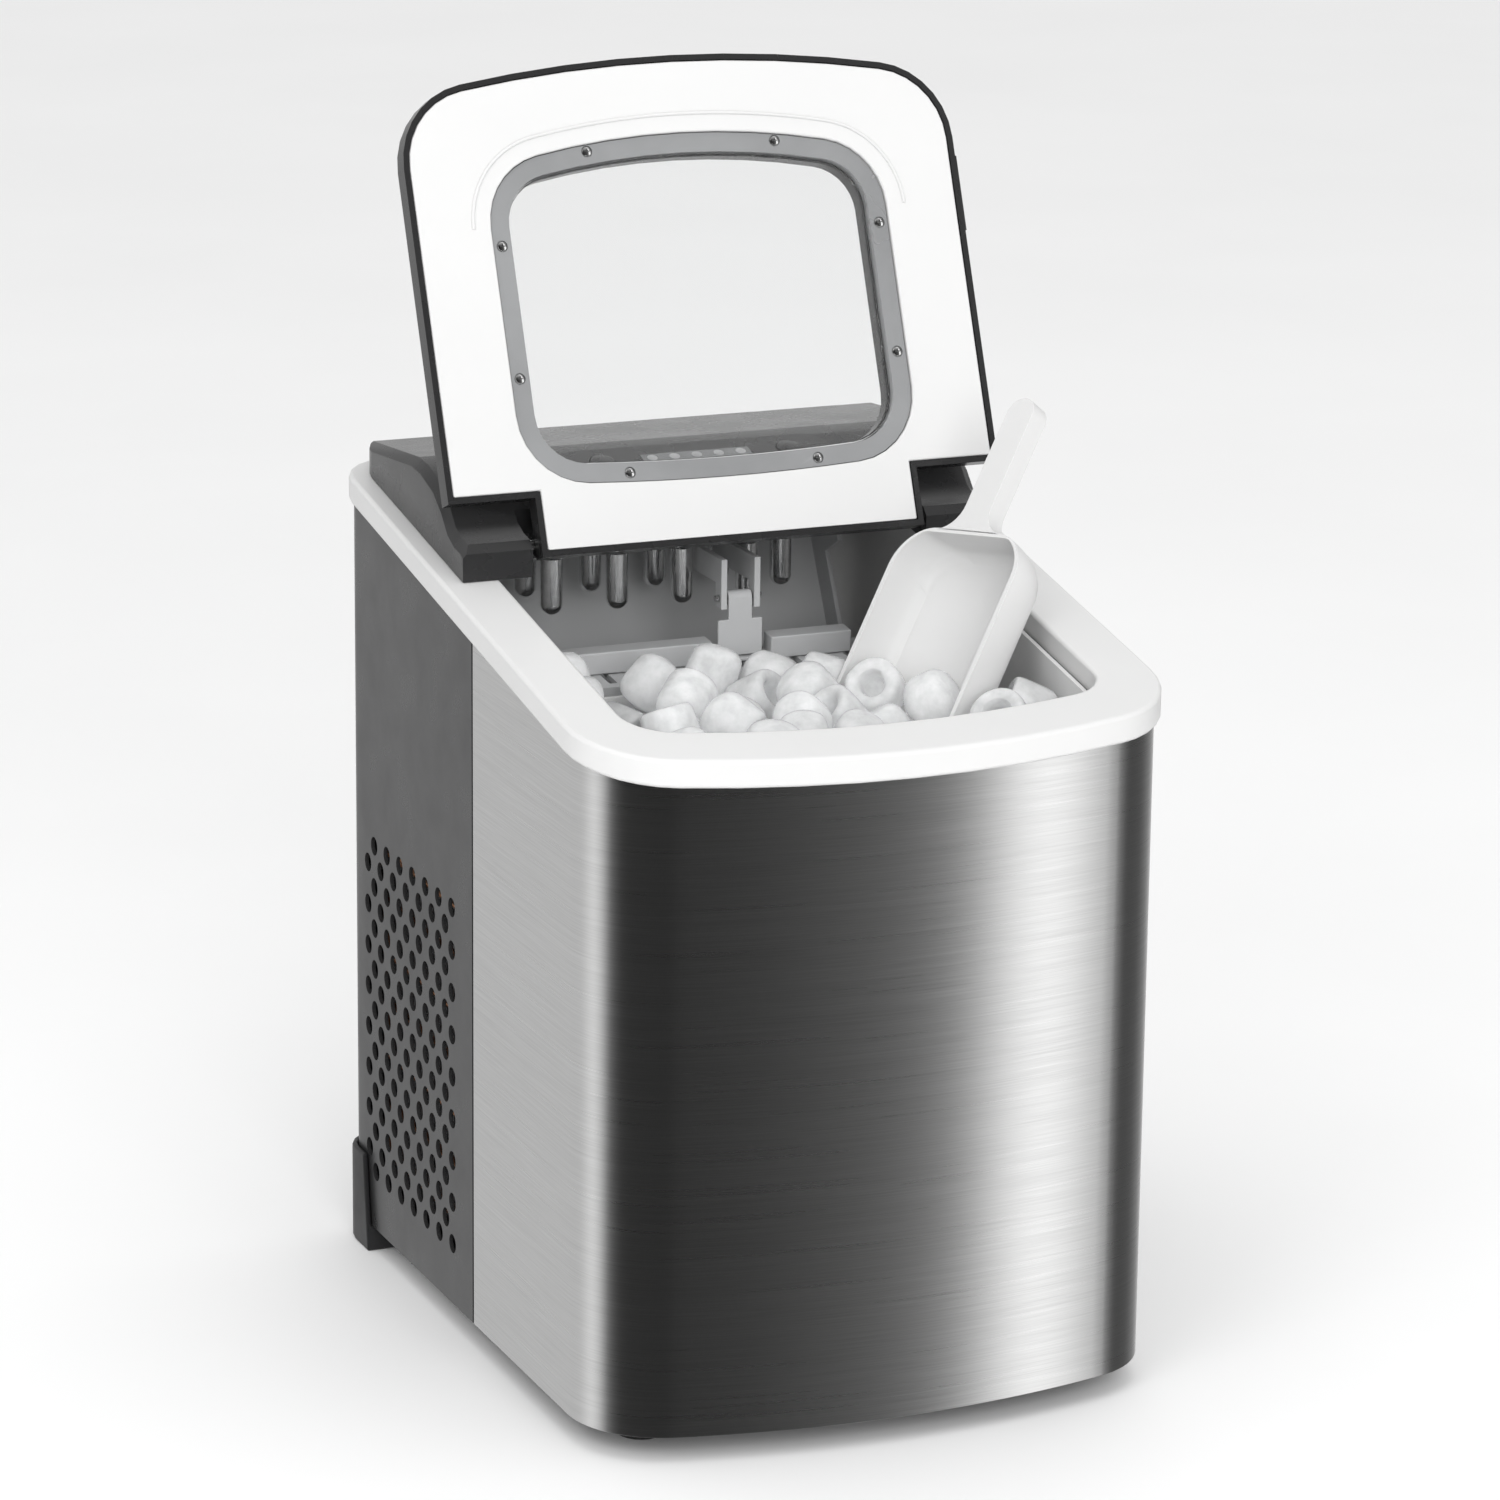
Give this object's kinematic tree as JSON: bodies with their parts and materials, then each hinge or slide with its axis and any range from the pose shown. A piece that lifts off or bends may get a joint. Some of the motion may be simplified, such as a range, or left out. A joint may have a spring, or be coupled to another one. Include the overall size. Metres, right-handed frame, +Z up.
{
  "type": "countertop ice maker",
  "caption": "Compact countertop ice maker with a bowed steel front, sloping white rim, open hinged lid with a window, and a lift-out basket of ice with a scoop.",
  "frame": {"origin": "on the floor under the middle of the body", "axes": "+Z up, -Y out of the bowed front, +X to the right of someone facing the front"},
  "size_m": [0.229, 0.293, 0.4707],
  "materials": {
    "brushed_steel": "horizontally brushed",
    "dark_paint": "satin dark grey",
    "dark_plastic": "satin dark grey",
    "black_plastic": "fine matte",
    "black_paint": "satin",
    "rubber": "matte",
    "white_plastic": "smooth satin",
    "grey_plastic": "smooth",
    "clear_plastic": "clear",
    "bright_metal": "polished",
    "copper": "drawn",
    "aluminium": "bare fins",
    "board": "printed board",
    "ice": "clear ice"
  },
  "bodies": {
    "body": {"base_pan": "black_plastic", "front_foot_left": "rubber", "front_foot_right": "rubber", "rear_bumper_left": "black_plastic", "rear_bumper_right": "black_plastic", "front_wrap": "brushed_steel", "rear_shell": "dark_paint", "power_inlet": "black_plastic", "top_rim": "white_plastic", "inner_tank": "white_plastic", "top_cover": "dark_plastic", "control_panel": "dark_plastic", "indicator_strip": "clear_plastic", "circuit_board": "board", "hinge_pin_left": "bright_metal", "hinge_pin_right": "bright_metal", "evaporator": "bright_metal", "evaporator_bracket": "grey_plastic", "paddle_pin": "bright_metal", "tray_motor": "black_plastic", "drip_grille": "grey_plastic", "compressor": "black_paint", "condenser": "aluminium", "fan_shroud": "black_plastic", "water_pump": "black_plastic", "suction_pipe": "copper"},
    "lid": {"lid_shell": "dark_plastic", "lid_liner": "white_plastic", "window_frame": "grey_plastic", "window_pane": "clear_plastic", "lid_screw_1": "bright_metal", "lid_screw_2": "bright_metal", "lid_screw_3": "bright_metal", "lid_screw_4": "bright_metal", "lid_screw_5": "bright_metal", "lid_screw_6": "bright_metal", "lid_screw_7": "bright_metal", "lid_screw_8": "bright_metal"},
    "basket": {"ice_basket": "white_plastic", "ice_heap": "ice"},
    "scoop": {"scoop": "white_plastic"},
    "power_button": {"power_button": "dark_plastic"},
    "select_button": {"select_button": "dark_plastic"},
    "drain_cap": {"drain_cap": "rubber"},
    "water_tray": {"water_tray": "grey_plastic"},
    "ice_pusher": {"ice_pusher": "grey_plastic"},
    "ice_paddle": {"ice_paddle": "grey_plastic"},
    "fan": {"fan_blade": "black_plastic"}
  },
  "joints": [
    {"name": "lid_hinge", "type": "hinge", "parent": "body", "child": "lid", "pos_m": [0, 0.0299, 0.301], "axis": [-1, 0, 0], "range_deg": [-122, 0]},
    {"name": "basket_lift", "type": "slide", "parent": "body", "child": "basket", "axis": [0, 0, 1], "range_m": [0, 0.13]},
    {"name": "scoop_lift", "type": "slide", "parent": "basket", "child": "scoop", "axis": [-0.1, -0.6502, 0.7532], "range_m": [0, 0.295]},
    {"name": "power_press", "type": "slide", "parent": "body", "child": "power_button", "axis": [0, 0.2924, -0.9563], "range_m": [0, 0.0008], "stiffness_N_per_m": 400},
    {"name": "select_press", "type": "slide", "parent": "body", "child": "select_button", "axis": [0, 0.2924, -0.9563], "range_m": [0, 0.0008], "stiffness_N_per_m": 400},
    {"name": "drain_pull", "type": "slide", "parent": "body", "child": "drain_cap", "axis": [1, 0, 0], "range_m": [0, 0.03]},
    {"name": "tray_tilt", "type": "hinge", "parent": "body", "child": "water_tray", "pos_m": [0, 0.098, 0.282], "axis": [-1, 0, 0], "range_deg": [0, 62]},
    {"name": "pusher_slide", "type": "slide", "parent": "body", "child": "ice_pusher", "axis": [0, -0.9945, -0.1045], "range_m": [0, 0.0165]},
    {"name": "paddle_swing", "type": "hinge", "parent": "body", "child": "ice_paddle", "pos_m": [0.009, 0.039, 0.272], "axis": [-1, 0, 0], "range_deg": [0, 35]},
    {"name": "fan_spin", "type": "hinge", "parent": "body", "child": "fan", "pos_m": [-0.058, 0.074, 0.096], "axis": [1, 0, 0], "continuous": true}
  ],
  "couplings": [
    {"joint": "scoop_lift", "follows": "lid_hinge", "m_per_rad": -0.13619},
    {"joint": "pusher_slide", "follows": "tray_tilt", "m_per_rad": 0.01479}
  ]
}
